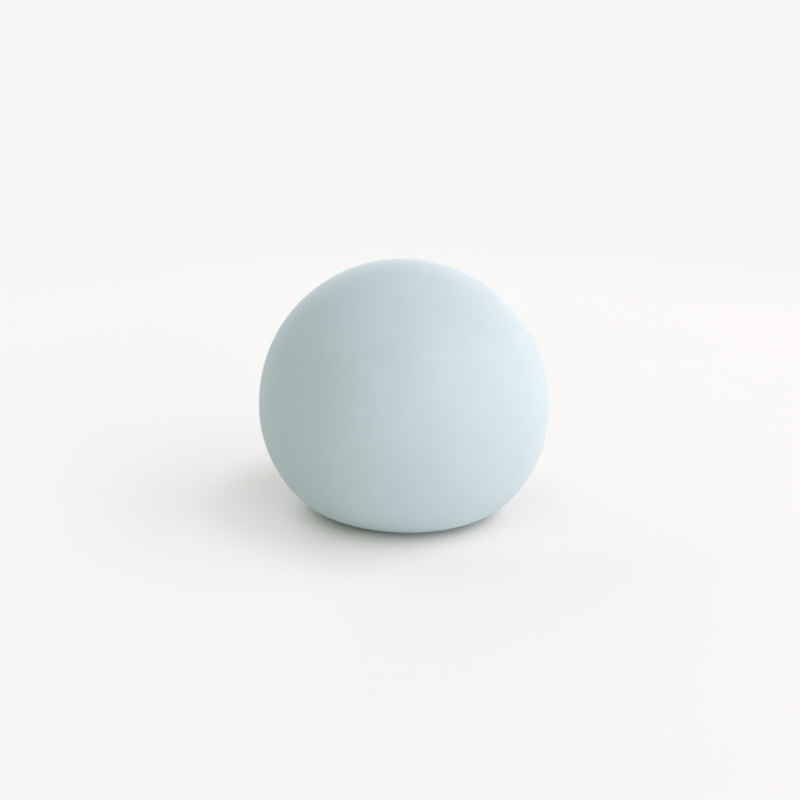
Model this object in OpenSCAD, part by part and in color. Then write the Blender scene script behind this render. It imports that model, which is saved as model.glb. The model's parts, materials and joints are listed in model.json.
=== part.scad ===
// A squeezable ball at rest on a table: a moulded rubber skin, the soft filling that it holds,
// and the plug and glue that close its fill hole. Sizes are in millimetres. The origin is in the
// middle of the flat that the ball rests on, with +Z up.

/* [Ball] */
// Width at the waist, the widest level of the ball
waist_d = 70; // [66:0.5:74]
// Height of the waist above the table
waist_z = 25.5; // [24:0.25:27]
// Radius of the curve that runs down from the waist
side_r = 30.5; // [29:0.25:33]
// Radius of the roll that turns the side under to the table
roll_r = 14.5; // [12:0.25:17]

/* [Skin] */
// Thickness of the skin
skin_wall = 2.5; // [1.5:0.1:3.5]
// Height of the level above which the skin is the crown, the part that a palm presses down
crown_z = 40; // [36:0.5:46]
// Gap between the skin and the filling
filling_gap = 0.3; // [0.2:0.05:0.6]

/* [Fill hole] */
// Width of the hole that the filling goes in through
bore_d = 8; // [6:0.25:10]
// Height of the collar round the hole, above the inside of the skin
collar_h = 6; // [4:0.25:9]
// How far the collar reaches out past the seat of the plug's head, each side
collar_rim = 3; // [1.5:0.25:5]

/* [Plug] */
// How far the plug's head reaches out past the hole, each side
head_lip = 2.5; // [1.5:0.25:4]
// Thickness of the head
head_t = 1.2; // [0.8:0.05:1.6]
// Radius that rounds the head's outer edge
head_edge = 0.4; // [0.1:0.05:0.6]
// Gap between the head and the side of its seat
head_gap = 0.5; // [0.2:0.05:1]
// How far the head is sunk below the flat that the ball rests on
head_sunk = 0.3; // [0.1:0.05:0.6]
// Gap between the plug's shank and the hole
shank_gap = 0.1; // [0.05:0.05:0.3]
// How far the barb reaches out past the hole, each side
barb_lip = 1; // [0.5:0.25:2]
// Height of the barb
barb_h = 4; // [2.5:0.25:6]
// Gap between the barb and the top of the collar
barb_gap = 0.2; // [0.1:0.05:0.5]
// How much narrower than the hole the barb's tip is, each side
tip_lead = 1.5; // [0.5:0.25:2.5]

/* [Glue] */
// Thickness of the glue between the head and its seat
glue_t = 0.3; // [0.15:0.05:0.5]
// Gap between the glue and the hole
glue_gap = 0.5; // [0.3:0.05:1]

/* [Hidden] */
$fn = 128;

// How far the roll swells into the side and the table, so that their curves cross and don't just touch
roll_lap = 0.01;
// How far a cutting shape runs past what it cuts
past = 1;

waist_r = waist_d / 2;
ball_h = waist_z + waist_r;
side_x = waist_r - side_r;
roll_x = side_x + sqrt(pow(side_r - roll_r, 2) - pow(waist_z - roll_r, 2));
// Slope of the line through the two centres, where the side's curve meets the roll
meet_slope = (waist_z - roll_r) / (side_r - roll_r);

head_d = bore_d + 2 * head_lip;
shank_d = bore_d - 2 * shank_gap;
seat_d = head_d + 2 * head_gap;
seat_depth = head_sunk + head_t + glue_t;
collar_d = seat_d + 2 * collar_rim;
collar_top = skin_wall + collar_h;
barb_d = bore_d + 2 * barb_lip;
barb_z = collar_top + barb_gap;
barb_top = barb_z + barb_h;
tip_d = bore_d - 2 * tip_lead;

// Half of the ball's cross section, set in from the outside by the given distance
module half_section(inset) {
    meet_z = roll_r - (roll_r - inset) * meet_slope;
    intersection() {
        union() {
            intersection() {
                translate([0, waist_z]) circle(r = waist_r - inset);
                translate([0, waist_z]) square(waist_d);
            }
            intersection() {
                translate([side_x, waist_z]) circle(r = side_r - inset);
                translate([0, meet_z]) square([waist_d, waist_z - meet_z]);
            }
            translate([roll_x, roll_r]) circle(r = roll_r - inset + roll_lap);
            square([roll_x, waist_z + past]);
        }
        translate([0, inset]) square([waist_d, ball_h]);
    }
}

// The ball as a solid, set in from the outside by the given distance
module ball(inset) {
    rotate_extrude() half_section(inset);
}

// The space above the given level
module above(level) {
    translate([-waist_d, -waist_d, level]) cube([2 * waist_d, 2 * waist_d, ball_h]);
}

// An upright cylinder between two levels
module post(d, bottom, top) {
    translate([0, 0, bottom]) cylinder(d = d, h = top - bottom);
}

// The skin below the crown, with the collar, the fill hole and the seat for the plug
module skin_body() {
    color("#cfdee0") difference() {
        union() {
            difference() {
                ball(0);
                ball(skin_wall);
                above(crown_z);
            }
            post(collar_d, skin_wall - past, collar_top);
        }
        post(bore_d, -past, collar_top + past);
        post(seat_d, -past, seat_depth);
    }
}

// The skin above that level
module skin_crown() {
    color("#cfdee0") intersection() {
        difference() {
            ball(0);
            ball(skin_wall);
        }
        above(crown_z);
    }
}

// The soft filling, shaped round the collar and the plug's barb
module filling() {
    inset = skin_wall + filling_gap;
    color("#e6e7dc") difference() {
        ball(inset);
        post(collar_d + 2 * filling_gap, 0, collar_top + filling_gap);
        post(barb_d + 2 * filling_gap, 0, barb_top + filling_gap);
    }
}

// The plug: a flat head with a rounded edge, a shank and a barb, all turned about one axis
module fill_plug() {
    rim_x = head_d / 2 - head_edge;
    rim_z = head_sunk + head_edge;
    color("#c6d6d6") rotate_extrude() {
        translate([0, head_sunk]) square([rim_x, head_t]);
        translate([0, rim_z]) square([head_d / 2, head_t - head_edge]);
        translate([rim_x, rim_z]) circle(r = head_edge);
        polygon([
            [0, rim_z],
            [shank_d / 2, rim_z],
            [shank_d / 2, barb_z],
            [barb_d / 2, barb_z],
            [tip_d / 2, barb_top],
            [0, barb_top],
        ]);
    }
}

// The ring of glue under the head
module plug_glue() {
    color("#d9d6c4") difference() {
        post(head_d, seat_depth - glue_t, seat_depth);
        post(bore_d + 2 * glue_gap, seat_depth - glue_t - past, seat_depth + past);
    }
}

skin_body();
skin_crown();
filling();
fill_plug();
plug_glue();
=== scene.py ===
"""Looks of a glow-in-the-dark squeeze ball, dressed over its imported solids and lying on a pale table.

The ball is a seamless moulded skin, the dough that fills it, and the plug and glue that close its hole.
Lengths are in metres, in the frame of the solids: X to the right, Y away from the viewer, Z up, and the
origin in the middle of the flat that the ball rests on. A name that ends in _mm holds millimetres.
"""

import json
import logging
import math
from dataclasses import dataclass
from enum import Enum
from typing import Any

import bmesh
import bpy
from mathutils import Matrix, Vector, noise


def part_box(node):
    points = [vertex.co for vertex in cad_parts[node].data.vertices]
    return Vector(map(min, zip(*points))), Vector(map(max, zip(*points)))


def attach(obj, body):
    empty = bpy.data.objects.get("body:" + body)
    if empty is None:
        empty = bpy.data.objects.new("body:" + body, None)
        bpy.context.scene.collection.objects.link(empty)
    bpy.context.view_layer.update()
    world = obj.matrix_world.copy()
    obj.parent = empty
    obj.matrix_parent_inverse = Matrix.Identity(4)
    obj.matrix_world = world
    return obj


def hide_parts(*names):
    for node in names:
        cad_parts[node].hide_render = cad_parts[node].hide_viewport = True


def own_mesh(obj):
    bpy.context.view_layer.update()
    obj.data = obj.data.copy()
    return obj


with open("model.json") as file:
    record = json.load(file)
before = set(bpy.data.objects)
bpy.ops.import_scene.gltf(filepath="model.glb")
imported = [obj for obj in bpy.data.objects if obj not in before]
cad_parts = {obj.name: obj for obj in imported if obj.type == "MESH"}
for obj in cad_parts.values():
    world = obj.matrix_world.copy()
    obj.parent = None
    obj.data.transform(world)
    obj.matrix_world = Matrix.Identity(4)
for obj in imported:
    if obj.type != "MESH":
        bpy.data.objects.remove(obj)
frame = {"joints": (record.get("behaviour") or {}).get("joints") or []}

LOG = logging.getLogger("squeeze_ball")
MM = 0.001
# Points closer than this are one point
WELD = 0.001 * MM
QUARTER = math.pi / 2


class Body(str, Enum):
    """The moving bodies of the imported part."""

    BASE = "base"
    CROWN = "crown"


class Slot(str, Enum):
    """The record's material slots."""

    SKIN = "skin"
    FILLING = "filling"
    PLUG = "plug"
    GLUE = "glue"


def linear(hex_code: str) -> tuple[float, float, float, float]:
    """Turn an sRGB hex colour into linear RGBA.

    Args:
        hex_code: Six hex digits, such as "D4E2E4".

    Returns:
        Red, green, blue and a full alpha, in linear light.
    """
    channels = [int(hex_code[i:i + 2], 16) / 255 for i in (0, 2, 4)]
    red, green, blue = (c / 12.92 if c <= 0.04045 else ((c + 0.055) / 1.055) ** 2.4 for c in channels)
    return red, green, blue, 1.0


def per_metre(size_mm: float) -> float:
    """Scale of a pattern whose features are that many millimetres across."""
    return 1 / (size_mm * MM)


def smooth_step(value: float, low: float, high: float) -> float:
    """Ease from 0 at low to 1 at high.

    Args:
        value: Where on the way from low to high.
        low: Value at and below which the result is 0.
        high: Value at and above which the result is 1.

    Returns:
        A share from 0 to 1.
    """
    share = min(1.0, max(0.0, (value - low) / (high - low)))
    return share * share * (3 - 2 * share)


def add_node(tree: bpy.types.NodeTree, kind: str, feeds: dict[str | int, Any] | None = None,
             **settings: Any) -> bpy.types.Node:
    """Add a shader node, set its options and fill or link its inputs.

    Args:
        tree: Node tree that gets the node.
        kind: Node type, such as "ShaderNodeTexNoise".
        feeds: Input name or number, to a plain value or to the output socket that it is linked from.
        settings: Options of the node, such as operation="MULTIPLY".

    Returns:
        The new node.
    """
    made = tree.nodes.new(kind)
    for option, value in settings.items():
        setattr(made, option, value)
    for key, feed in (feeds or {}).items():
        if isinstance(feed, bpy.types.NodeSocket):
            tree.links.new(feed, made.inputs[key])
        else:
            made.inputs[key].default_value = feed
    return made


def empty_material(name: str) -> bpy.types.Material:
    """Make a material whose node tree is empty.

    Args:
        name: Name of the real material.

    Returns:
        The new material.
    """
    material = bpy.data.materials.new(name)
    material.use_nodes = True
    material.node_tree.nodes.clear()
    return material


def shown_share(tree: bpy.types.NodeTree) -> bpy.types.NodeSocket:
    """Tell what the lens or a reflection shows from the light that falls on things.

    Args:
        tree: Node tree that gets the nodes.

    Returns:
        Socket that is 1 for what is seen straight, in a gloss or through glass, and 0 for all other light.
    """
    path = add_node(tree, "ShaderNodeLightPath").outputs
    seen = add_node(tree, "ShaderNodeMath", {
        0: path["Is Camera Ray"], 1: path["Is Glossy Ray"],
    }, operation="MAXIMUM")
    return add_node(tree, "ShaderNodeMath", {
        0: seen.outputs["Value"], 1: path["Is Transmission Ray"],
    }, operation="MAXIMUM").outputs["Value"]


@dataclass(frozen=True)
class MouldedRubber:
    """Soft thermoplastic rubber, moulded against a fine-blasted steel mould and full of glow pigment.

    The blasted mould leaves a satin-matt face with no sharp shine. The pigment makes it pale and cloudy,
    with a faint mottle, and light sinks a little way in. A trace of talc keeps it from sticking.
    """

    name: str = "glow_pigmented_tpr"
    pale: str = "BBCCD1"
    deep: str = "B5C7CC"
    speck: str = "9FB3B2"
    mottle_mm: float = 15.0
    mottle_detail: float = 3.0
    mottle_roughness: float = 0.45
    cloud_mm: float = 3.2
    cloud_detail: float = 2.0
    cloud_roughness: float = 0.6
    cloud_share: float = 0.3
    # Middle part of the patterns' values that takes up the whole change of tint, and of gloss
    tint_span: tuple[float, float] = (0.3, 0.7)
    gloss_span: tuple[float, float] = (0.25, 0.75)
    peel_mm: float = 5.12
    peel_detail: float = 1.0
    peel_height_mm: float = 0.05
    peel_strength: float = 0.25
    # The real mould grit is about 0.05 mm, too fine to show, so the grain is drawn ten times as coarse
    grain_mm: float = 0.5
    grain_detail: float = 2.0
    grain_roughness: float = 0.6
    grain_height_mm: float = 0.03
    grain_strength: float = 0.35
    speck_spacing_mm: float = 11.0
    speck_radius_mm: float = 0.22
    # Share of a speck's radius that has its full colour, and the share of that colour that shows
    speck_core: float = 0.4
    speck_strength: float = 0.55
    # A cell has a speck where its random value, from 0 to 1, is above this
    speck_above: float = 0.72
    roughness: float = 0.7
    roughness_swing: float = 0.06
    ior: float = 1.49
    gloss_level: float = 0.22
    depth_mm: float = 1.4
    depth_weight: float = 0.45
    # How far red, green and blue light go in, as shares of the depth
    depth_reach: tuple[float, float, float] = (1.0, 1.15, 1.1)
    talc: float = 0.02
    talc_roughness: float = 0.45

    def build(self) -> bpy.types.Material:
        """Make the material.

        Returns:
            The new material.
        """
        material = empty_material(self.name)
        tree = material.node_tree
        place = add_node(tree, "ShaderNodeTexCoord").outputs["Object"]
        mottle = add_node(tree, "ShaderNodeTexNoise", {
            "Vector": place, "Scale": per_metre(self.mottle_mm),
            "Detail": self.mottle_detail, "Roughness": self.mottle_roughness,
        })
        cloud = add_node(tree, "ShaderNodeTexNoise", {
            "Vector": place, "Scale": per_metre(self.cloud_mm),
            "Detail": self.cloud_detail, "Roughness": self.cloud_roughness,
        })
        tint_share = add_node(tree, "ShaderNodeMix", {
            "Factor": self.cloud_share, "A": mottle.outputs["Fac"], "B": cloud.outputs["Fac"],
        })
        spread = add_node(tree, "ShaderNodeMapRange", {
            "Value": tint_share.outputs["Result"],
            "From Min": self.tint_span[0], "From Max": self.tint_span[1],
        })
        tint = add_node(tree, "ShaderNodeMix", {
            "Factor": spread.outputs["Result"], "A": linear(self.pale), "B": linear(self.deep),
        }, data_type="RGBA")
        specks = self._specks(tree, place)
        colour = add_node(tree, "ShaderNodeMix", {
            "Factor": specks, "A": tint.outputs["Result"], "B": linear(self.speck),
        }, data_type="RGBA")
        gloss = add_node(tree, "ShaderNodeMapRange", {
            "Value": cloud.outputs["Fac"], "From Min": self.gloss_span[0], "From Max": self.gloss_span[1],
            "To Min": self.roughness - self.roughness_swing,
            "To Max": self.roughness + self.roughness_swing,
        })
        shader = add_node(tree, "ShaderNodeBsdfPrincipled", {
            "Base Color": colour.outputs["Result"], "Roughness": gloss.outputs["Result"], "IOR": self.ior,
            "Specular IOR Level": self.gloss_level,
            "Sheen Weight": self.talc, "Sheen Roughness": self.talc_roughness,
            "Subsurface Weight": self.depth_weight, "Subsurface Radius": self.depth_reach,
            "Subsurface Scale": self.depth_mm * MM, "Normal": self._grain(tree, place),
        })
        add_node(tree, "ShaderNodeOutputMaterial", {"Surface": shader.outputs["BSDF"]})
        return material

    def _specks(self, tree: bpy.types.NodeTree, place: bpy.types.NodeSocket) -> bpy.types.NodeSocket:
        """Scatter a few faint dust specks, one near the middle of some cells.

        Args:
            tree: Node tree of the material.
            place: Socket of the coordinates.

        Returns:
            Socket of the specks' share of the colour.
        """
        radius = self.speck_radius_mm / self.speck_spacing_mm
        cells = add_node(tree, "ShaderNodeTexVoronoi", {
            "Vector": place, "Scale": per_metre(self.speck_spacing_mm), "Randomness": 1.0,
        })
        dot = add_node(tree, "ShaderNodeMapRange", {
            "Value": cells.outputs["Distance"], "From Min": radius, "From Max": radius * self.speck_core,
            "To Min": 0.0, "To Max": self.speck_strength,
        }, interpolation_type="SMOOTHSTEP")
        chosen = add_node(tree, "ShaderNodeSeparateColor", {"Color": cells.outputs["Color"]})
        some = add_node(tree, "ShaderNodeMath", {
            0: chosen.outputs["Red"], 1: self.speck_above,
        }, operation="GREATER_THAN")
        return add_node(tree, "ShaderNodeMath", {
            0: dot.outputs["Result"], 1: some.outputs["Value"],
        }, operation="MULTIPLY").outputs["Value"]

    def _grain(self, tree: bpy.types.NodeTree, place: bpy.types.NodeSocket) -> bpy.types.NodeSocket:
        """Raise the moulded grain over a slow orange peel.

        Args:
            tree: Node tree of the material.
            place: Socket of the coordinates.

        Returns:
            Socket of the bumped normal.
        """
        peel = add_node(tree, "ShaderNodeTexNoise", {
            "Vector": place, "Scale": per_metre(self.peel_mm), "Detail": self.peel_detail,
        })
        slow = add_node(tree, "ShaderNodeBump", {
            "Height": peel.outputs["Fac"],
            "Strength": self.peel_strength, "Distance": self.peel_height_mm * MM,
        })
        grain = add_node(tree, "ShaderNodeTexNoise", {
            "Vector": place, "Scale": per_metre(self.grain_mm),
            "Detail": self.grain_detail, "Roughness": self.grain_roughness,
        })
        return add_node(tree, "ShaderNodeBump", {
            "Height": grain.outputs["Fac"], "Normal": slow.outputs["Normal"],
            "Strength": self.grain_strength, "Distance": self.grain_height_mm * MM,
        }).outputs["Normal"]


@dataclass(frozen=True)
class FlourDough:
    """The filling: a stiff dough of starch and oil, pressed smooth by the skin, dull and unevenly pale."""

    name: str = "starch_dough"
    pale: str = "EDEBDD"
    deep: str = "DDD9C6"
    crumb_mm: float = 1.2
    crumb_detail: float = 3.0
    crumb_height_mm: float = 0.1
    crumb_strength: float = 0.5
    fold_mm: float = 9.0
    fold_detail: float = 5.0
    fold_distortion: float = 0.8
    roughness: float = 0.72
    ior: float = 1.45
    depth_mm: float = 1.0
    depth_weight: float = 0.2

    def build(self) -> bpy.types.Material:
        """Make the material.

        Returns:
            The new material.
        """
        material = empty_material(self.name)
        tree = material.node_tree
        place = add_node(tree, "ShaderNodeTexCoord").outputs["Object"]
        folds = add_node(tree, "ShaderNodeTexNoise", {
            "Vector": place, "Scale": per_metre(self.fold_mm),
            "Detail": self.fold_detail, "Distortion": self.fold_distortion,
        })
        crumbs = add_node(tree, "ShaderNodeTexNoise", {
            "Vector": place, "Scale": per_metre(self.crumb_mm), "Detail": self.crumb_detail,
        })
        tint = add_node(tree, "ShaderNodeMix", {
            "Factor": folds.outputs["Fac"], "A": linear(self.pale), "B": linear(self.deep),
        }, data_type="RGBA")
        bump = add_node(tree, "ShaderNodeBump", {
            "Height": crumbs.outputs["Fac"],
            "Strength": self.crumb_strength, "Distance": self.crumb_height_mm * MM,
        })
        shader = add_node(tree, "ShaderNodeBsdfPrincipled", {
            "Base Color": tint.outputs["Result"], "Roughness": self.roughness, "IOR": self.ior,
            "Subsurface Weight": self.depth_weight, "Subsurface Scale": self.depth_mm * MM,
            "Normal": bump.outputs["Normal"],
        })
        add_node(tree, "ShaderNodeOutputMaterial", {"Surface": shader.outputs["BSDF"]})
        return material


@dataclass(frozen=True)
class CloudyGlue:
    """Instant glue, set to a hard cloudy ring: a wet gloss, broken where it dried rough."""

    name: str = "set_instant_glue"
    pale: str = "E4E0CE"
    deep: str = "CFC9AE"
    cloud_mm: float = 0.9
    cloud_detail: float = 3.0
    # Middle part of the cloud's values that takes up the whole change from wet to dry
    cloud_span: tuple[float, float] = (0.3, 0.7)
    wet_roughness: float = 0.12
    dry_roughness: float = 0.45
    ior: float = 1.48
    depth_mm: float = 0.4
    depth_weight: float = 0.3

    def build(self) -> bpy.types.Material:
        """Make the material.

        Returns:
            The new material.
        """
        material = empty_material(self.name)
        tree = material.node_tree
        place = add_node(tree, "ShaderNodeTexCoord").outputs["Object"]
        cloud = add_node(tree, "ShaderNodeTexNoise", {
            "Vector": place, "Scale": per_metre(self.cloud_mm), "Detail": self.cloud_detail,
        })
        tint = add_node(tree, "ShaderNodeMix", {
            "Factor": cloud.outputs["Fac"], "A": linear(self.pale), "B": linear(self.deep),
        }, data_type="RGBA")
        gloss = add_node(tree, "ShaderNodeMapRange", {
            "Value": cloud.outputs["Fac"], "From Min": self.cloud_span[0], "From Max": self.cloud_span[1],
            "To Min": self.wet_roughness, "To Max": self.dry_roughness,
        })
        shader = add_node(tree, "ShaderNodeBsdfPrincipled", {
            "Base Color": tint.outputs["Result"], "Roughness": gloss.outputs["Result"], "IOR": self.ior,
            "Subsurface Weight": self.depth_weight, "Subsurface Scale": self.depth_mm * MM,
        })
        add_node(tree, "ShaderNodeOutputMaterial", {"Surface": shader.outputs["BSDF"]})
        return material


@dataclass(frozen=True)
class PaintedTable:
    """The pale table: smooth white paint with a faint unevenness and next to no shine.

    It keeps the whole shadow close to the ball. Further out it is seen partly as an even pale glow, painted
    light that lightens the outer part of the ball's cast shadow, and far out as nothing but that pale
    backdrop.
    """

    name: str = "pale_painted_table"
    pale: str = "F0EFED"
    deep: str = "EDECEA"
    # Colour of the even pale glow: far out it is the backdrop, and nearer the ball it is painted light over
    # the ball's cast shadow
    backdrop_and_painted_light: str = "F5F5F4"
    # Painted light: between these two distances from the ball's axis, up to this share of the table as seen
    # turns into an even pale glow, which lightens the ball's cast shadow there
    painted_light_share: float = 0.55
    painted_light_from_mm: float = 36.0
    painted_light_full_mm: float = 56.0
    far_from_mm: float = 80.0
    far_full_mm: float = 320.0
    patch_mm: float = 60.0
    patch_detail: float = 2.0
    roughness: float = 0.7
    ior: float = 1.3

    def build(self) -> bpy.types.Material:
        """Make the material.

        Returns:
            The new material.
        """
        material = empty_material(self.name)
        tree = material.node_tree
        place = add_node(tree, "ShaderNodeTexCoord").outputs["Object"]
        patches = add_node(tree, "ShaderNodeTexNoise", {
            "Vector": place, "Scale": per_metre(self.patch_mm), "Detail": self.patch_detail,
        })
        tint = add_node(tree, "ShaderNodeMix", {
            "Factor": patches.outputs["Fac"], "A": linear(self.pale), "B": linear(self.deep),
        }, data_type="RGBA")
        shader = add_node(tree, "ShaderNodeBsdfPrincipled", {
            "Base Color": tint.outputs["Result"], "Roughness": self.roughness, "IOR": self.ior,
        })
        # Painted light from a little past the ball's foot, which lightens its cast shadow, and then the
        # plain pale backdrop far out
        reach = add_node(tree, "ShaderNodeVectorMath", {0: place}, operation="LENGTH")
        near = add_node(tree, "ShaderNodeMapRange", {
            "Value": reach.outputs["Value"], "From Min": self.painted_light_from_mm * MM,
            "From Max": self.painted_light_full_mm * MM, "To Min": 0.0, "To Max": self.painted_light_share,
        }, interpolation_type="SMOOTHSTEP")
        far = add_node(tree, "ShaderNodeMapRange", {
            "Value": reach.outputs["Value"],
            "From Min": self.far_from_mm * MM, "From Max": self.far_full_mm * MM,
        }, interpolation_type="SMOOTHSTEP")
        fade = add_node(tree, "ShaderNodeMath", {
            0: near.outputs["Result"], 1: far.outputs["Result"],
        }, operation="MAXIMUM")
        share = add_node(tree, "ShaderNodeMath", {
            0: fade.outputs["Value"], 1: shown_share(tree),
        }, operation="MULTIPLY")
        backdrop_and_painted_light = add_node(tree, "ShaderNodeEmission", {"Color": linear(self.backdrop_and_painted_light), "Strength": 1.0})
        surface = add_node(tree, "ShaderNodeMixShader", {
            "Fac": share.outputs["Value"], 1: shader.outputs["BSDF"], 2: backdrop_and_painted_light.outputs["Emission"],
        })
        add_node(tree, "ShaderNodeOutputMaterial", {"Surface": surface.outputs["Shader"]})
        return material


class HalfSection:
    """A pen that draws half of a round piece's cross section, and then turns it about Z."""

    def __init__(self, x: float, z: float) -> None:
        """Set the pen down.

        Args:
            x: Distance from the axis.
            z: Height.
        """
        self.mesh = bmesh.new()
        self.tip = self.mesh.verts.new((x, 0.0, z))

    def line(self, x: float, z: float, steps: int = 1) -> "HalfSection":
        """Draw a straight stretch.

        Args:
            x: Distance of its end from the axis.
            z: Height of its end.
            steps: Number of edges.

        Returns:
            The pen itself.
        """
        stride = (Vector((x, 0.0, z)) - self.tip.co) / steps
        for _ in range(steps):
            self.tip = bmesh.ops.extrude_vert_indiv(self.mesh, verts=[self.tip])["verts"][0]
            bmesh.ops.translate(self.mesh, verts=[self.tip], vec=stride)
        return self

    def arc(self, x: float, z: float, angle: float, steps: int) -> "HalfSection":
        """Draw a round stretch.

        Args:
            x: Distance of its centre from the axis.
            z: Height of its centre.
            angle: Turn in radians, positive from the top outwards and down.
            steps: Number of edges.

        Returns:
            The pen itself.
        """
        drawn = bmesh.ops.spin(self.mesh, geom=[self.tip], cent=(x, 0.0, z), axis=(0.0, 1.0, 0.0),
                               angle=angle, steps=steps)
        self.tip = next(g for g in drawn["geom_last"] if isinstance(g, bmesh.types.BMVert))
        return self

    def turn(self, segments: int) -> bmesh.types.BMesh:
        """Turn the drawn outline all the way round the Z axis.

        Args:
            segments: Number of steps round the axis.

        Returns:
            The closed mesh, with its faces outwards.
        """
        bmesh.ops.remove_doubles(self.mesh, verts=self.mesh.verts, dist=WELD)
        bmesh.ops.spin(self.mesh, geom=self.mesh.verts[:] + self.mesh.edges[:], cent=(0.0, 0.0, 0.0),
                       axis=(0.0, 0.0, 1.0), angle=math.tau, steps=segments, use_merge=True)
        bmesh.ops.remove_doubles(self.mesh, verts=self.mesh.verts, dist=WELD)
        bmesh.ops.recalc_face_normals(self.mesh, faces=self.mesh.faces)
        return self.mesh


def finished_piece(name: str, mesh: bmesh.types.BMesh, material: bpy.types.Material) -> bpy.types.Object:
    """Make an object at the origin from a finished mesh.

    Args:
        name: Name of the piece.
        mesh: Its mesh, which is used up.
        material: Its material.

    Returns:
        The new object, shaded smooth.
    """
    data = bpy.data.meshes.new(name)
    mesh.to_mesh(data)
    mesh.free()
    data.shade_smooth()
    data.materials.append(material)
    piece = bpy.data.objects.new(name, data)
    bpy.context.scene.collection.objects.link(piece)
    return piece


@dataclass(frozen=True)
class BallForm:
    """The settled ball: a round crown, a side below the waist, and a roll that turns under to a flat."""

    waist_r: float
    height: float
    side_r: float = 30.5 * MM
    roll_r: float = 14.5 * MM
    crown_steps: int = 56
    side_steps: int = 26
    roll_steps: int = 28

    @property
    def waist_z(self) -> float:
        """Height of the widest level."""
        return self.height - self.waist_r

    @property
    def side_x(self) -> float:
        """Distance of the side curve's centre from the axis."""
        return self.waist_r - self.side_r

    @property
    def side_turn(self) -> float:
        """Angle through which the side curve turns before it meets the roll."""
        return math.asin((self.waist_z - self.roll_r) / (self.side_r - self.roll_r))

    @property
    def roll_x(self) -> float:
        """Distance of the roll's centre from the axis, and radius of the flat."""
        return self.side_x + (self.side_r - self.roll_r) * math.cos(self.side_turn)

    def draw_down(self, pen: HalfSection) -> HalfSection:
        """Draw from the top of the crown down to the flat, as far inside the form as the pen is."""
        pen.arc(0.0, self.waist_z, QUARTER, self.crown_steps)
        pen.arc(self.side_x, self.waist_z, self.side_turn, self.side_steps)
        return pen.arc(self.roll_x, self.roll_r, QUARTER - self.side_turn, self.roll_steps)

    def draw_up(self, pen: HalfSection) -> HalfSection:
        """Draw from the flat up to the top of the crown, as far inside the form as the pen is."""
        pen.arc(self.roll_x, self.roll_r, self.side_turn - QUARTER, self.roll_steps)
        pen.arc(self.side_x, self.waist_z, -self.side_turn, self.side_steps)
        return pen.arc(0.0, self.waist_z, -QUARTER, self.crown_steps)


@dataclass(frozen=True)
class Slump:
    """How the soft ball has leant, spread and lumped: the skin and its filling share every shift."""

    form: BallForm
    lean: float = -0.35 * MM
    spread: float = 0.9 * MM
    spread_deg: float = -50.0
    spread_from_r: float = 11.0 * MM
    spread_top_z: float = 20.0 * MM
    lump: float = 0.05 * MM
    lump_width: float = 21.0 * MM
    still_z: float = 6.0 * MM
    free_z: float = 22.0 * MM

    def apply(self, mesh: bmesh.types.BMesh) -> None:
        """Shift each point of a mesh.

        Args:
            mesh: The mesh, which is changed in place.
        """
        for vert in mesh.verts:
            vert.co += self._lean(vert.co) + self._spread(vert.co) + self._lump(vert.co)

    def _lean(self, point: Vector) -> Vector:
        """Shift of the crown to one side."""
        return Vector((self.lean * smooth_step(point.z, self.form.waist_z, self.form.height), 0.0, 0.0))

    def _spread(self, point: Vector) -> Vector:
        """Shift of the foot outwards on the side that carries more of the weight."""
        outwards = Vector((point.x, point.y, 0.0))
        if outwards.length < self.spread_from_r:
            return Vector()
        side = math.radians(self.spread_deg)
        towards = max(0.0, outwards.normalized().dot(Vector((math.cos(side), math.sin(side), 0.0))))
        share = smooth_step(outwards.length, self.spread_from_r, self.form.roll_x)
        low = 1 - smooth_step(point.z, 0.0, self.spread_top_z)
        return outwards.normalized() * self.spread * towards * towards * share * low

    def _lump(self, point: Vector) -> Vector:
        """Shift of a slow swelling, nothing near the table and full higher up."""
        outwards = (point - Vector((0.0, 0.0, self.form.waist_z))).normalized()
        swell = noise.noise(outwards * self.form.waist_r / self.lump_width)
        return outwards * swell * self.lump * smooth_step(point.z, self.still_z, self.free_z)


@dataclass(frozen=True)
class Squeeze:
    """How the soft ball is tied to the squeeze: every piece rides on one of its two bodies."""

    form: BallForm
    joint: str = "squeeze"

    @property
    def keep(self) -> float:
        """Share of the height that is left at the end of the travel."""
        travel = next(joint["range_m"][1] for joint in frame["joints"] if joint["name"] == self.joint)
        return 1 - travel / self.form.height

    def apply(self, piece: bpy.types.Object, body: Body) -> None:
        """Let a piece ride on a body, with a mesh of its own.

        Args:
            piece: The piece.
            body: BASE for the body that stays on the table, CROWN for the moving crown.
        """
        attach(piece, body.value)
        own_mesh(piece)


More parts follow.
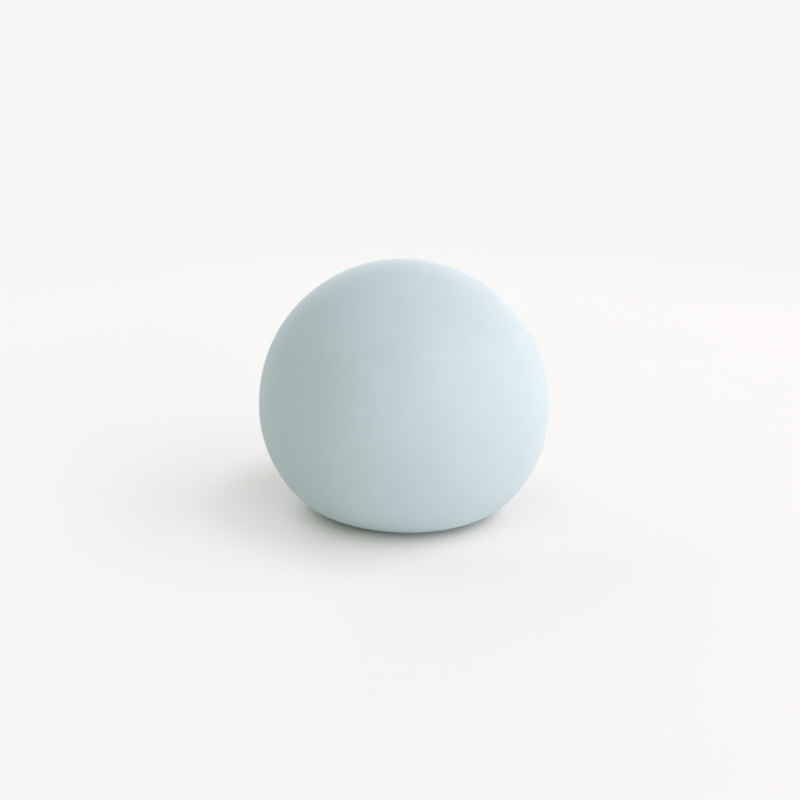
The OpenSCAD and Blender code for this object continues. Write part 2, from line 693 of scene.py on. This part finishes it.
@dataclass(frozen=True)
class FillHole:
    """The hole under the ball, with the seat for the plug's head below it and a collar above it."""

    bore_r: float = 4.0 * MM
    seat_r: float = 7.0 * MM
    seat_depth: float = 1.8 * MM
    collar_r: float = 10.0 * MM
    collar_top: float = 8.5 * MM
    lip: float = 0.3 * MM
    cove: float = 0.2 * MM
    shoulder: float = 1.2 * MM
    steps: int = 5

    def draw_through(self, pen: HalfSection, floor_z: float) -> HalfSection:
        """Draw from the ball's flat, through the hole and over the collar, to the skin's inside.

        Args:
            pen: The pen, on the flat.
            floor_z: Height of the skin's inside at the flat.

        Returns:
            The pen itself.
        """
        lip, cove, shoulder = self.lip, self.cove, self.shoulder
        pen.line(self.seat_r + lip, 0.0, steps=6)
        pen.arc(self.seat_r + lip, lip, QUARTER, self.steps)
        pen.line(self.seat_r, self.seat_depth - cove, steps=2)
        pen.arc(self.seat_r - cove, self.seat_depth - cove, -QUARTER, self.steps)
        pen.line(self.bore_r + lip, self.seat_depth, steps=3)
        pen.arc(self.bore_r + lip, self.seat_depth + lip, QUARTER, self.steps)
        pen.line(self.bore_r, self.collar_top - lip, steps=4)
        pen.arc(self.bore_r + lip, self.collar_top - lip, QUARTER, self.steps)
        pen.line(self.collar_r - shoulder, self.collar_top, steps=3)
        pen.arc(self.collar_r - shoulder, self.collar_top - shoulder, QUARTER, self.steps)
        pen.line(self.collar_r, floor_z + shoulder, steps=3)
        return pen.arc(self.collar_r + shoulder, floor_z + shoulder, -QUARTER, self.steps)


@dataclass(frozen=True)
class Skin:
    """The one-piece moulded skin, outside and inside, with its fill hole."""

    form: BallForm
    hole: FillHole
    slump: Slump
    squeeze: Squeeze
    finish: MouldedRubber
    wall: float = 2.5 * MM
    segments: int = 176

    def build(self) -> bpy.types.Object:
        """Make the skin in place of both CAD halves, riding whole on the crown.

        Returns:
            The finished piece.
        """
        pen = self.form.draw_down(HalfSection(0.0, self.form.height))
        self.hole.draw_through(pen, self.wall)
        self.form.draw_up(pen.line(self.form.roll_x, self.wall, steps=4))
        mesh = pen.turn(self.segments)
        self.slump.apply(mesh)
        piece = finished_piece("skin", mesh, self.finish.build())
        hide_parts("skin_body", "skin_crown")
        self.squeeze.apply(piece, Body.CROWN)
        return piece


@dataclass(frozen=True)
class Filling:
    """The dough, pressed into the skin's inside shape, with a pocket for the collar and the plug's barb."""

    form: BallForm
    hole: FillHole
    slump: Slump
    squeeze: Squeeze
    finish: FlourDough
    inset: float
    barb_pocket_r: float
    barb_pocket_top: float
    gap: float = 0.3 * MM
    edge: float = 0.8 * MM
    edge_steps: int = 5
    segments: int = 128

    def build(self) -> bpy.types.Object:
        """Make the dough in place of its CAD solid.

        Returns:
            The finished piece.
        """
        pocket_r = self.hole.collar_r + self.gap
        pocket_top = self.hole.collar_top + self.gap
        barb_r, barb_top = self.barb_pocket_r, self.barb_pocket_top
        edge, foot = self.edge, 2 * self.edge
        pen = self.form.draw_down(HalfSection(0.0, self.form.height - self.inset))
        pen.line(pocket_r + foot, self.inset, steps=3)
        pen.arc(pocket_r + foot, self.inset + foot, QUARTER, self.edge_steps)
        pen.line(pocket_r, pocket_top - edge, steps=3)
        pen.arc(pocket_r - edge, pocket_top - edge, -QUARTER, self.edge_steps)
        pen.line(barb_r + edge, pocket_top, steps=3)
        pen.arc(barb_r + edge, pocket_top + edge, QUARTER, self.edge_steps)
        pen.line(barb_r, barb_top - edge, steps=2)
        pen.arc(barb_r - edge, barb_top - edge, -QUARTER, self.edge_steps)
        pen.line(0.0, barb_top, steps=3)
        mesh = pen.turn(self.segments)
        self.slump.apply(mesh)
        piece = finished_piece("dough", mesh, self.finish.build())
        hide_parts("filling")
        self.squeeze.apply(piece, Body.BASE)
        return piece


@dataclass(frozen=True)
class FillPlug:
    """The headed stopper: a flat head with the mark of its moulding gate, a shank and a barb."""

    squeeze: Squeeze
    finish: MouldedRubber
    head_r: float
    head_z: float
    tip_z: float
    head_t: float = 1.2 * MM
    head_edge: float = 0.4 * MM
    shank_r: float = 3.9 * MM
    barb_r: float = 5.0 * MM
    barb_h: float = 4.0 * MM
    tip_r: float = 2.5 * MM
    edge: float = 0.15 * MM
    gate_r: float = 1.1 * MM
    gate_depth: float = 0.25 * MM
    nub_r: float = 0.45 * MM
    nub_h: float = 0.16 * MM
    segments: int = 96

    def build(self) -> bpy.types.Object:
        """Make the plug in place of its CAD solid.

        Returns:
            The finished piece.
        """
        pen = self._draw_head()
        self._draw_shank_and_barb(pen)
        piece = finished_piece("plug", pen.turn(self.segments), self.finish.build())
        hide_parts("fill_plug")
        self.squeeze.apply(piece, Body.BASE)
        return piece

    def _draw_head(self) -> HalfSection:
        """Draw from the middle of the gate mark, across the head's face and rim, to its inner face."""
        gate_z = self.head_z + self.gate_depth
        edge, small = self.head_edge, self.edge
        head_top = self.head_z + self.head_t
        pen = HalfSection(0.0, gate_z - self.nub_h)
        pen.line(self.nub_r, gate_z - self.nub_h, steps=2)
        pen.line(self.nub_r + small, gate_z)
        pen.line(self.gate_r, gate_z, steps=2)
        pen.line(self.gate_r + small, self.head_z)
        pen.line(self.head_r - edge, self.head_z, steps=4)
        pen.arc(self.head_r - edge, self.head_z + edge, -QUARTER, steps=6)
        pen.line(self.head_r, head_top - small)
        return pen.arc(self.head_r - small, head_top - small, -QUARTER, steps=3)

    def _draw_shank_and_barb(self, pen: HalfSection) -> HalfSection:
        """Draw from the head's inner face, up the shank and over the barb, to the middle of its tip."""
        small = self.edge
        head_top = self.head_z + self.head_t
        barb_z = self.tip_z - self.barb_h
        slope = math.atan2(self.barb_r - self.tip_r, self.barb_h)
        pen.line(self.shank_r + small, head_top, steps=3)
        pen.arc(self.shank_r + small, head_top + small, QUARTER, steps=3)
        pen.line(self.shank_r, barb_z - small, steps=4)
        pen.arc(self.shank_r + small, barb_z - small, QUARTER, steps=3)
        pen.line(self.barb_r - 2 * small, barb_z)
        pen.arc(self.barb_r - 2 * small, barb_z + small, -QUARTER - slope, steps=5)
        tip_x, tip_z = self.tip_r - 2 * small, self.tip_z - 2 * small
        pen.line(tip_x + 2 * small * math.cos(slope), tip_z + 2 * small * math.sin(slope), steps=4)
        pen.arc(tip_x, tip_z, slope - QUARTER, steps=4)
        return pen.line(0.0, self.tip_z, steps=2)


@dataclass(frozen=True)
class PlugGlue:
    """The ring of glue between the plug's head and its seat, with the bead that squeezed out round it."""

    squeeze: Squeeze
    finish: CloudyGlue
    hole: FillHole
    head_r: float
    low_z: float
    high_z: float
    inner_r: float = 4.5 * MM
    clear: float = 0.02 * MM
    bead_low_z: float = 1.0 * MM
    segments: int = 96

    def build(self) -> bpy.types.Object:
        """Make the glue in place of its CAD solid.

        Returns:
            The finished piece.
        """
        clear, cove = self.clear, self.hole.cove
        low, high = self.low_z + clear, self.high_z - clear
        wall_r = self.hole.seat_r - clear
        head_r = self.head_r + clear
        dip = (wall_r - head_r) / 2
        pen = HalfSection(self.inner_r, high)
        pen.line(wall_r - cove, high, steps=3)
        pen.arc(wall_r - cove, high - cove, QUARTER, steps=4)
        pen.line(wall_r, self.bead_low_z, steps=2)
        pen.arc(wall_r - dip, self.bead_low_z, -math.pi, steps=8)
        pen.line(head_r, low)
        pen.line(self.inner_r, low, steps=3)
        pen.arc(self.inner_r, (low + high) / 2, math.pi, steps=5)
        piece = finished_piece("glue", pen.turn(self.segments), self.finish.build())
        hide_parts("plug_glue")
        self.squeeze.apply(piece, Body.BASE)
        return piece


class SqueezeBall:
    """The whole ball: the skin, the dough in it, and the plug and glue under it."""

    def __init__(self) -> None:
        """Take the sizes of each piece from the solids that it stands for."""
        body_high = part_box("skin_body")[1]
        crown_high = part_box("skin_crown")[1]
        filling_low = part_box("filling")[0]
        plug_low, plug_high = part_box("fill_plug")
        glue_low, glue_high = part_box("plug_glue")
        form = BallForm(waist_r=body_high.x, height=crown_high.z)
        hole = FillHole(seat_depth=glue_high.z)
        slump = Slump(form)
        squeeze = Squeeze(form)
        rubber = MouldedRubber()
        plug_rubber = MouldedRubber(name="plug_tpr", pale="CBDAD9", deep="BFCFCE", talc=0.05, depth_mm=0.8)
        skin = Skin(form, hole, slump, squeeze, rubber)
        plug = FillPlug(squeeze, plug_rubber, head_r=plug_high.x, head_z=plug_low.z, tip_z=plug_high.z)
        filling = Filling(
            form, hole, slump, squeeze, FlourDough(), inset=filling_low.z,
            barb_pocket_r=plug.barb_r + Filling.gap, barb_pocket_top=plug_high.z + Filling.gap,
        )
        glue = PlugGlue(
            squeeze, CloudyGlue(), hole, head_r=plug_high.x, low_z=glue_low.z, high_z=glue_high.z,
        )
        self.form = form
        self.parts = (skin, filling, plug, glue)

    def build(self) -> list[bpy.types.Object]:
        """Make every piece.

        Returns:
            The finished pieces.
        """
        return [part.build() for part in self.parts]


@dataclass(frozen=True)
class SoftBox:
    """A lamp with a wide soft front that faces the ball and stays out of the picture."""

    name: str
    azimuth_deg: float
    elevation_deg: float
    watts: float
    colour: str
    distance: float = 2.4
    width: float = 2.4
    height: float = 1.2

    def build(self, target: Vector) -> bpy.types.Object:
        """Hang the lamp.

        Args:
            target: Point that the lamp faces.

        Returns:
            The lamp.
        """
        turn, rise = math.radians(self.azimuth_deg), math.radians(self.elevation_deg)
        way = Vector((math.cos(turn) * math.cos(rise), math.sin(turn) * math.cos(rise), math.sin(rise)))
        data = bpy.data.lights.new(self.name, "AREA")
        data.shape = "RECTANGLE"
        data.size = self.width
        data.size_y = self.height
        data.energy = self.watts
        data.color = linear(self.colour)[:3]
        lamp = bpy.data.objects.new(self.name, data)
        lamp.location = target + way * self.distance
        lamp.rotation_euler = (-way).to_track_quat("-Z", "Y").to_euler()
        lamp.visible_camera = False
        bpy.context.scene.collection.objects.link(lamp)
        return lamp


@dataclass(frozen=True)
class Studio:
    """The table, the light round it and the camera, at the photograph's view."""

    form: BallForm
    elevation_deg: float = 18.0
    distance: float = 0.4543
    lens_mm: float = 85.0
    sensor_mm: float = 36.0
    frame_px: float = 800.0
    # Where the middle of the ball's axis falls in the frame, counted from its top left corner
    middle_px: tuple[float, float] = (404.4, 385.2)
    table_half: float = 5.0
    ambient: str = "D8FFEE"
    ambient_strength: float = 0.16
    backdrop: str = "F5F5F4"
    # Each has a name, an azimuth and an elevation in degrees, its watts and its colour
    soft_boxes: tuple[SoftBox, ...] = (
        SoftBox("rear_right_low", 45.0, 11.0, 15.0, "FFD8B4", height=0.9),
        SoftBox("rear_low", 90.0, 11.0, 22.0, "F7F7FF", height=0.9),
        SoftBox("front_right_low", -45.0, 11.0, 31.0, "FFF7F9", height=0.9),
        SoftBox("right_high", 0.0, 43.0, 34.0, "FAF3FB"),
        SoftBox("rear_left_high", 135.0, 38.0, 20.0, "FFF3F9"),
        SoftBox("front_left_high", 225.0, 38.0, 9.5, "FAFFD0"),
        SoftBox("front_right_high", -45.0, 38.0, 8.0, "FFEEEC"),
        SoftBox("front_top", 240.0, 64.0, 12.0, "FAE8FF"),
    )

    def build(self) -> None:
        """Set up everything round the ball."""
        middle = Vector((0.0, 0.0, self.form.height / 2))
        self._build_table()
        self._build_world()
        self._build_camera(middle)
        for soft_box in self.soft_boxes:
            soft_box.build(middle)
        bpy.context.scene.view_settings.view_transform = "Standard"

    def _build_table(self) -> None:
        """Lay the pale table under the ball."""
        mesh = bmesh.new()
        bmesh.ops.create_grid(mesh, x_segments=2, y_segments=2, size=self.table_half)
        finished_piece("table", mesh, PaintedTable().build())

    def _build_world(self) -> None:
        """Fill the room with an even pale light, and show the lens and the reflections a pale backdrop."""
        world = bpy.data.worlds.new("pale_room")
        world.use_nodes = True
        tree = world.node_tree
        tree.nodes.clear()
        light = add_node(tree, "ShaderNodeBackground", {
            "Color": linear(self.ambient), "Strength": self.ambient_strength,
        })
        view = add_node(tree, "ShaderNodeBackground", {"Color": linear(self.backdrop), "Strength": 1.0})
        mixed = add_node(tree, "ShaderNodeMixShader", {
            "Fac": shown_share(tree), 1: light.outputs["Background"], 2: view.outputs["Background"],
        })
        add_node(tree, "ShaderNodeOutputWorld", {"Surface": mixed.outputs["Shader"]})
        bpy.context.scene.world = world

    def _build_camera(self, middle: Vector) -> None:
        """Place the camera so that the middle of the ball falls on its pixel.

        Args:
            middle: Middle of the ball's axis.
        """
        rise = math.radians(self.elevation_deg)
        back = Vector((0.0, -math.cos(rise), math.sin(rise)))
        right = Vector((1.0, 0.0, 0.0))
        up = back.cross(right)
        metres_per_px = self.distance * self.sensor_mm / self.lens_mm / self.frame_px
        across = (self.middle_px[0] - self.frame_px / 2) * metres_per_px
        above = (self.frame_px / 2 - self.middle_px[1]) * metres_per_px
        place = middle + back * self.distance
        aim = middle - right * across - up * above
        data = bpy.data.cameras.new("camera")
        data.lens = self.lens_mm
        data.sensor_width = self.sensor_mm
        camera = bpy.data.objects.new("camera", data)
        facing = (aim - place).to_track_quat("-Z", "Y").to_matrix().to_4x4()
        camera.matrix_world = Matrix.Translation(place) @ facing
        bpy.context.scene.collection.objects.link(camera)
        bpy.context.scene.camera = camera


def main() -> None:
    """Build the ball and the studio round it."""
    logging.basicConfig(level=logging.INFO, format="%(name)s: %(message)s")
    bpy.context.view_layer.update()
    ball = SqueezeBall()
    for piece in ball.build():
        LOG.info("%s has %d faces", piece.name, len(piece.data.polygons))
    Studio(ball.form).build()


if __name__ == "__main__":
    main()
